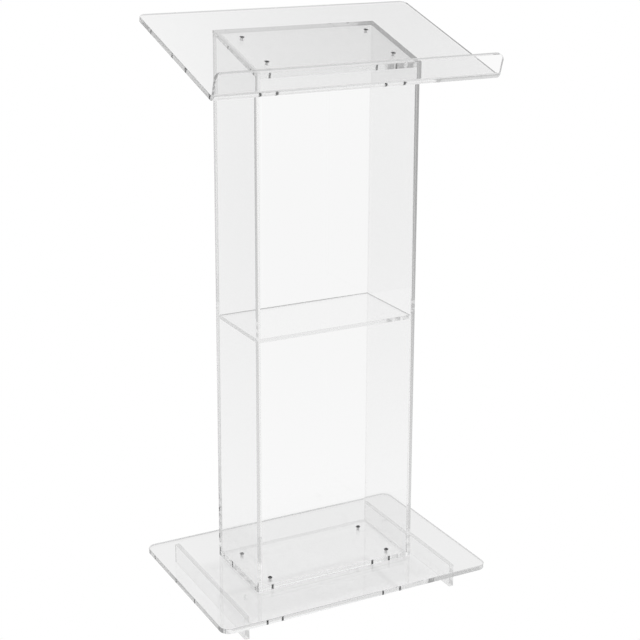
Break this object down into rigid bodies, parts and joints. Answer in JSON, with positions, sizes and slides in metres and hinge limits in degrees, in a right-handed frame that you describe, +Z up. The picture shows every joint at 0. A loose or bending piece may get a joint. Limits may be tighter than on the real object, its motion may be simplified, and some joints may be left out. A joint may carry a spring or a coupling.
{
  "type": "presentation lectern",
  "caption": "Free-standing clear acrylic lectern: a column open on the speaker's side with a shelf, a sloped reading top with a ledge, and a wide base on runners.",
  "frame": {"origin": "on the floor under the middle of the base plate", "axes": "+Z up; +X to the speaker's right; +Y away from the speaker, towards the audience"},
  "size_m": [0.6, 0.4, 1.182],
  "materials": {
    "clear_acrylic": "clear, polished faces and polished edges",
    "screw_steel": "plain stainless steel"
  },
  "bodies": {
    "root": {"reading_top": "clear_acrylic", "top_plate": "clear_acrylic", "left_side_panel": "clear_acrylic", "right_side_panel": "clear_acrylic", "back_panel": "clear_acrylic", "shelf": "clear_acrylic", "bottom_plate": "clear_acrylic", "base_plate": "clear_acrylic", "left_runner": "clear_acrylic", "right_runner": "clear_acrylic", "top_screws": "screw_steel", "base_screws": "screw_steel"}
  },
  "joints": []
}
